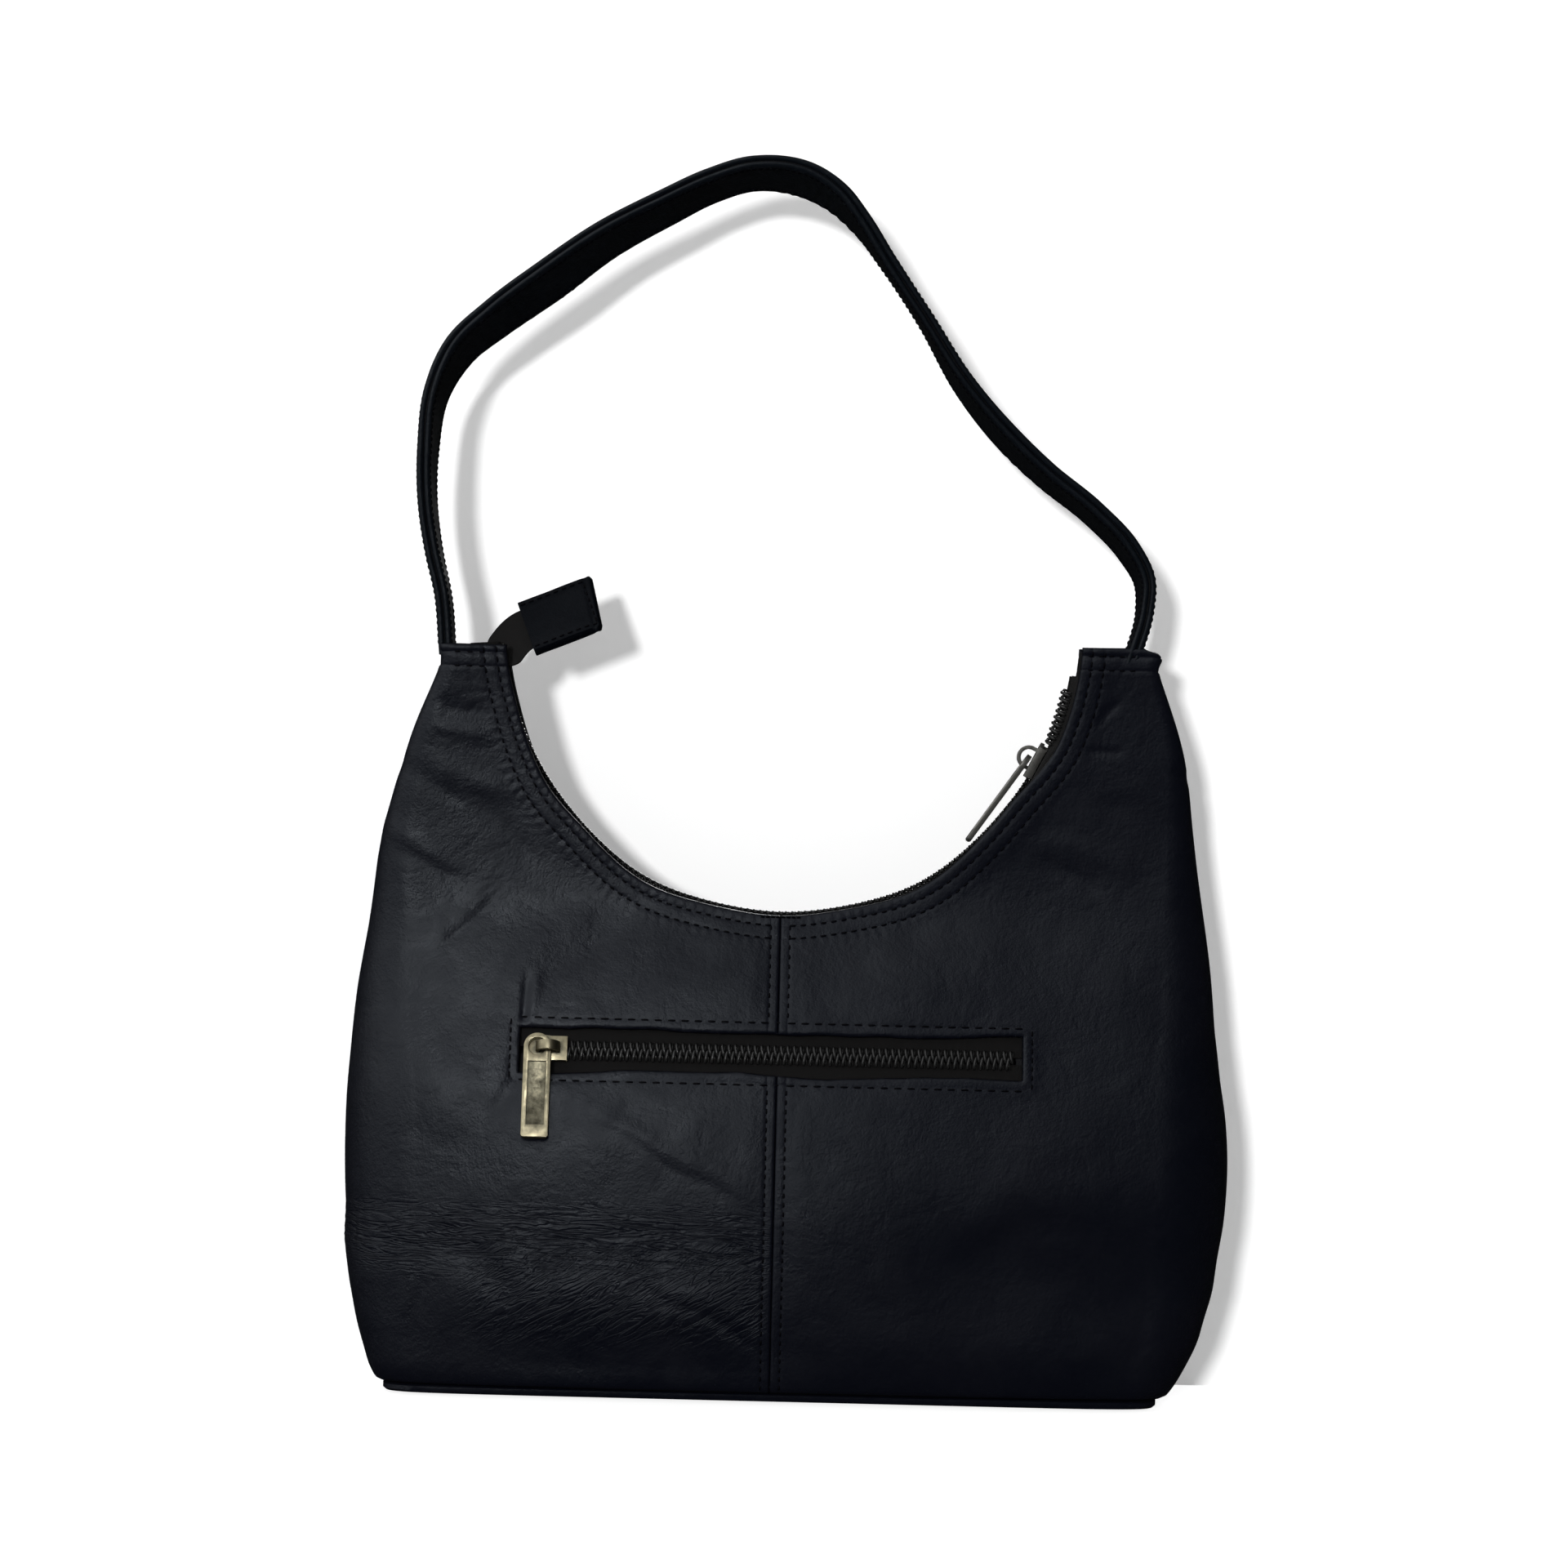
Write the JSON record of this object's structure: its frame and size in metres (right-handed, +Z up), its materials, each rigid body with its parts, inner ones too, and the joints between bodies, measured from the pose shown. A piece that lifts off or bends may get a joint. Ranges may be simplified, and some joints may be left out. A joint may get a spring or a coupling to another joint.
{
  "type": "hobo bag",
  "caption": "Soft leather shoulder bag with a curved zipped mouth between two ears, a zipped front pocket and one twisted shoulder strap.",
  "frame": {"origin": "middle of the base, on the surface that the bag stands on", "axes": "+Z up, X along the bag's length to the ear with the main slider, -Y to the zipped front"},
  "size_m": [0.2796, 0.0811, 0.3966],
  "materials": {
    "outer_leather": "smooth black nappa leather with a soft sheen",
    "strap_leather": "smooth black leather",
    "strap_core": "dark bonded core",
    "lining_cloth": "black twill",
    "zip_tape": "black herringbone tape",
    "zip_coil": "black nylon coil",
    "antique_brass": "dark antique brass, worn on the edges",
    "antique_nickel": "dark antique nickel"
  },
  "bodies": {
    "bag": {"front_panel_left": "outer_leather", "front_panel_right": "outer_leather", "back_panel_left": "outer_leather", "back_panel_right": "outer_leather", "base_panel": "outer_leather", "front_mouth_facing": "outer_leather", "back_mouth_facing": "outer_leather", "lining_front": "lining_cloth", "lining_back": "lining_cloth", "pocket_bag_front": "lining_cloth", "pocket_bag_back": "lining_cloth", "strap_tail_left": "strap_leather", "strap_tail_right": "strap_leather", "main_zip_tape_front": "zip_tape", "main_zip_tape_back": "zip_tape", "main_zip_coil_front": "zip_coil", "main_zip_coil_back": "zip_coil", "pocket_zip_tape_upper": "zip_tape", "pocket_zip_tape_lower": "zip_tape", "pocket_zip_coil_upper": "zip_coil", "pocket_zip_coil_lower": "zip_coil"},
    "main_slider": {"main_slider_body": "antique_nickel"},
    "main_pull": {"main_pull_tab": "antique_nickel"},
    "pocket_slider": {"pocket_slider_body": "antique_brass"},
    "pocket_pull": {"pocket_pull_tab": "antique_brass"},
    "strap": {"strap_outer_strip": "strap_leather", "strap_inner_strip": "strap_leather", "strap_core": "strap_core"},
    "zip_tail": {"zip_tail_tape": "zip_tape", "zip_tail_coil": "zip_coil", "zip_tail_tab": "strap_leather"}
  },
  "joints": [
    {"name": "main_slider_travel", "type": "hinge", "parent": "bag", "child": "main_slider", "pos_m": [0, 0, 0.243], "axis": [0, 1, 0], "range_deg": [-14, 125], "deforming": ["main_zip_coil_front", "main_zip_coil_back"]},
    {"name": "main_pull_lift", "type": "hinge", "parent": "main_slider", "child": "main_pull", "pos_m": [0.0777, 0, 0.20341], "axis": [0, 1, 0], "range_deg": [0, 150]},
    {"name": "pocket_slider_travel", "type": "slide", "parent": "bag", "child": "pocket_slider", "axis": [1, 0, 0], "range_m": [0, 0.135], "deforming": ["pocket_zip_coil_upper", "pocket_zip_coil_lower"]},
    {"name": "pocket_pull_swing", "type": "hinge", "parent": "pocket_slider", "child": "pocket_pull", "pos_m": [-0.0749, -0.03073, 0.10921], "axis": [0, -0.9505, 0.3106], "range_deg": [-190, 20]},
    {"name": "strap_fold", "type": "hinge", "parent": "bag", "child": "strap", "pos_m": [0, 0, 0.2505], "axis": [1, 0, 0], "range_deg": [-90, 90]},
    {"name": "zip_tail_bend", "type": "hinge", "parent": "bag", "child": "zip_tail", "pos_m": [-0.0913, 0, 0.2395], "axis": [0, 1, 0], "range_deg": [-55, 45]}
  ]
}
